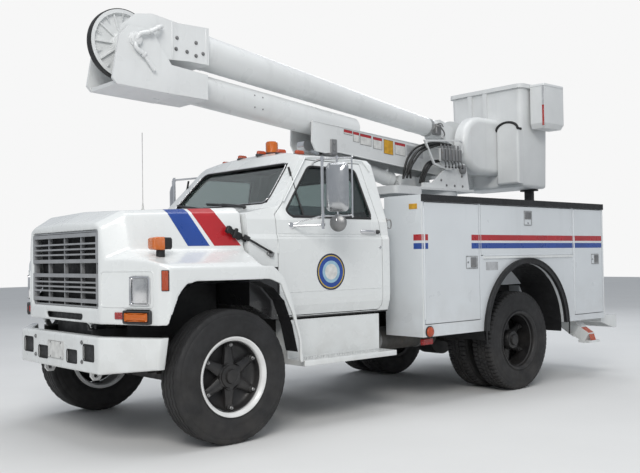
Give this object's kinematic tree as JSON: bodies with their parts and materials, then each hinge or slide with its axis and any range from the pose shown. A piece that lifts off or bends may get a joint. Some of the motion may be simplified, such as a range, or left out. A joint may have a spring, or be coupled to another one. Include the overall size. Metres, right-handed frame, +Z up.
{
  "type": "bucket truck",
  "caption": "Conventional-cab utility truck with a side-bin service body and an articulated aerial lift stowed over the cab, ending in a tall work bucket.",
  "frame": {"origin": "centre of the bounding box at ground level", "axes": "+X forward, +Y to the vehicle's left, +Z up"},
  "size_m": [6.505, 2.7148, 3.514],
  "materials": {
    "white_paint": "glossy white paint, lightly weathered",
    "chassis_black": "satin black chassis paint",
    "engine_iron": "rough cast iron",
    "tank_metal": "dull steel",
    "glass": "clear glass, slightly green",
    "interior_plastic": "dark grained plastic",
    "seat_vinyl": "dark grey vinyl",
    "amber_lens": "amber lens",
    "lamp_lens": "clear lens",
    "grille_grey": "silver grey moulding",
    "mirror_metal": "white painted tube and head",
    "black_rubber": "black rubber trim",
    "tyre": "black rubber",
    "crane_white": "glossy white paint",
    "chrome_rod": "hard chrome",
    "bucket_plastic": "white gelcoat"
  },
  "bodies": {
    "chassis": {"frame_rails": "chassis_black", "front_axle": "chassis_black", "rear_axle": "chassis_black", "front_springs": "chassis_black", "rear_springs": "chassis_black", "engine_block": "engine_iron", "radiator": "chassis_black", "gearbox_and_propshaft": "chassis_black", "fuel_tank": "tank_metal", "exhaust": "tank_metal", "front_bumper": "white_paint", "tow_eyes": "tank_metal", "cab_shell": "white_paint", "cab_glass": "glass", "bench_seat": "seat_vinyl", "seat_box": "interior_plastic", "dashboard_and_steering_wheel": "interior_plastic", "cab_steps": "white_paint", "roof_lamps": "amber_lens", "service_body": "white_paint", "body_trim": "black_rubber", "rear_step": "white_paint", "pedestal": "crane_white", "outrigger_housings": "white_paint"},
    "tilt_hood": {"hood": "white_paint", "grille": "grille_grey", "front_lamps": "lamp_lens"},
    "left_cab_door": {"left_door": "white_paint", "left_door_glass": "glass", "left_mirror": "mirror_metal"},
    "left_front_bin_lid": {"left_front_bin_door": "white_paint"},
    "left_middle_bin_lid": {"left_middle_bin_door": "white_paint"},
    "left_rear_bin_lid": {"left_rear_bin_door": "white_paint"},
    "left_steering": {"left_knuckle": "chassis_black"},
    "left_front_wheel_set": {"left_front_wheel": "chassis_black", "left_front_tyre": "tyre"},
    "left_rear_wheel_set": {"left_rear_wheels": "chassis_black", "left_rear_tyres": "tyre"},
    "left_leg": {"left_outrigger": "white_paint"},
    "right_cab_door": {"right_door": "white_paint", "right_door_glass": "glass", "right_mirror": "mirror_metal"},
    "right_front_bin_lid": {"right_front_bin_door": "white_paint"},
    "right_middle_bin_lid": {"right_middle_bin_door": "white_paint"},
    "right_rear_bin_lid": {"right_rear_bin_door": "white_paint"},
    "right_steering": {"right_knuckle": "chassis_black"},
    "right_front_wheel_set": {"right_front_wheel": "chassis_black", "right_front_tyre": "tyre"},
    "right_rear_wheel_set": {"right_rear_wheels": "chassis_black", "right_rear_tyres": "tyre"},
    "right_leg": {"right_outrigger": "white_paint"},
    "slewing_turret": {"turret": "crane_white"},
    "lower_arm": {"lower_boom": "crane_white"},
    "lift_barrel": {"lift_cylinder_barrel": "crane_white"},
    "lift_rod": {"lift_cylinder_rod": "chrome_rod"},
    "levelling_sheave": {"elbow_sheave": "crane_white"},
    "upper_arm": {"upper_boom": "crane_white"},
    "platform": {"bucket": "bucket_plastic", "tool_box": "bucket_plastic"}
  },
  "joints": [
    {"name": "hood_tilt", "type": "hinge", "parent": "chassis", "child": "tilt_hood", "pos_m": [3.1575, 0, 0.905], "axis": [0, 1, 0], "range_deg": [0, 60]},
    {"name": "left_door_swing", "type": "hinge", "parent": "chassis", "child": "left_cab_door", "pos_m": [1.795, 0.992, 1.4], "axis": [0, 0, -1], "range_deg": [0, 65]},
    {"name": "left_front_bin_swing", "type": "hinge", "parent": "chassis", "child": "left_front_bin_lid", "pos_m": [0.231, 1.2, 1.3], "axis": [0, 0, -1], "range_deg": [0, 90]},
    {"name": "left_middle_bin_drop", "type": "hinge", "parent": "chassis", "child": "left_middle_bin_lid", "pos_m": [-1.435, 1.2, 1.3985], "axis": [-1, 0, 0], "range_deg": [0, 90]},
    {"name": "left_rear_bin_swing", "type": "hinge", "parent": "chassis", "child": "left_rear_bin_lid", "pos_m": [-2.284, 1.2, 1.3], "axis": [0, 0, -1], "range_deg": [0, 90]},
    {"name": "left_steer", "type": "hinge", "parent": "chassis", "child": "left_steering", "pos_m": [2.3775, 0.9, 0.51], "axis": [0, 0, 1], "range_deg": [-35, 35]},
    {"name": "left_front_spin", "type": "hinge", "parent": "left_steering", "child": "left_front_wheel_set", "pos_m": [2.3775, 1.05, 0.51], "axis": [0, 1, 0], "continuous": true},
    {"name": "left_rear_spin", "type": "hinge", "parent": "chassis", "child": "left_rear_wheel_set", "pos_m": [-1.2775, 0.9, 0.51], "axis": [0, 1, 0], "continuous": true},
    {"name": "left_outrigger_slide", "type": "slide", "parent": "chassis", "child": "left_leg", "axis": [0, 0.848, -0.5299], "range_m": [0, 0.62]},
    {"name": "right_door_swing", "type": "hinge", "parent": "chassis", "child": "right_cab_door", "pos_m": [1.795, -0.992, 1.4], "axis": [0, 0, 1], "range_deg": [0, 65]},
    {"name": "right_front_bin_swing", "type": "hinge", "parent": "chassis", "child": "right_front_bin_lid", "pos_m": [0.231, -1.2, 1.3], "axis": [0, 0, 1], "range_deg": [0, 90]},
    {"name": "right_middle_bin_drop", "type": "hinge", "parent": "chassis", "child": "right_middle_bin_lid", "pos_m": [-1.435, -1.2, 1.3985], "axis": [1, 0, 0], "range_deg": [0, 90]},
    {"name": "right_rear_bin_swing", "type": "hinge", "parent": "chassis", "child": "right_rear_bin_lid", "pos_m": [-2.284, -1.2, 1.3], "axis": [0, 0, 1], "range_deg": [0, 90]},
    {"name": "right_steer", "type": "hinge", "parent": "chassis", "child": "right_steering", "pos_m": [2.3775, -0.9, 0.51], "axis": [0, 0, 1], "range_deg": [-35, 35]},
    {"name": "right_front_spin", "type": "hinge", "parent": "right_steering", "child": "right_front_wheel_set", "pos_m": [2.3775, -1.05, 0.51], "axis": [0, 1, 0], "continuous": true},
    {"name": "right_rear_spin", "type": "hinge", "parent": "chassis", "child": "right_rear_wheel_set", "pos_m": [-1.2775, -0.9, 0.51], "axis": [0, 1, 0], "continuous": true},
    {"name": "right_outrigger_slide", "type": "slide", "parent": "chassis", "child": "right_leg", "axis": [0, -0.848, -0.5299], "range_m": [0, 0.62]},
    {"name": "turret_slew", "type": "hinge", "parent": "chassis", "child": "slewing_turret", "pos_m": [-1.2125, 0, 2.062], "axis": [0, 0, 1], "range_deg": [-180, 180]},
    {"name": "lower_boom_lift", "type": "hinge", "parent": "slewing_turret", "child": "lower_arm", "pos_m": [-1.4535, 0, 2.374], "axis": [0, -1, 0], "range_deg": [0, 78]},
    {"name": "lift_barrel_swing", "type": "hinge", "parent": "slewing_turret", "child": "lift_barrel", "pos_m": [-0.6825, 0, 2.225], "axis": [0, -1, 0], "range_deg": [0, 91]},
    {"name": "lift_rod_slide", "type": "slide", "parent": "lift_barrel", "child": "lift_rod", "axis": [0.9761, 0, 0.2173], "range_m": [0, 0.925]},
    {"name": "elbow_level", "type": "hinge", "parent": "lower_arm", "child": "levelling_sheave", "pos_m": [2.6625, 0, 3.222], "axis": [0, -1, 0], "range_deg": [-79, 0]},
    {"name": "upper_boom_lift", "type": "hinge", "parent": "levelling_sheave", "child": "upper_arm", "pos_m": [2.6625, 0, 3.222], "axis": [0, 1, 0], "range_deg": [0, 95]},
    {"name": "bucket_level", "type": "hinge", "parent": "upper_arm", "child": "platform", "pos_m": [-1.8475, 0, 2.683], "axis": [0, 1, 0], "range_deg": [-96, 0]}
  ],
  "couplings": [
    {"joint": "right_steer", "follows": "left_steer", "ratio": 1},
    {"joint": "lift_barrel_swing", "follows": "lower_boom_lift", "ratio": 1.1481},
    {"joint": "lift_rod_slide", "follows": "lower_boom_lift", "m_per_rad": 0.67784},
    {"joint": "elbow_level", "follows": "lower_boom_lift", "ratio": -1},
    {"joint": "bucket_level", "follows": "upper_boom_lift", "ratio": -1}
  ]
}
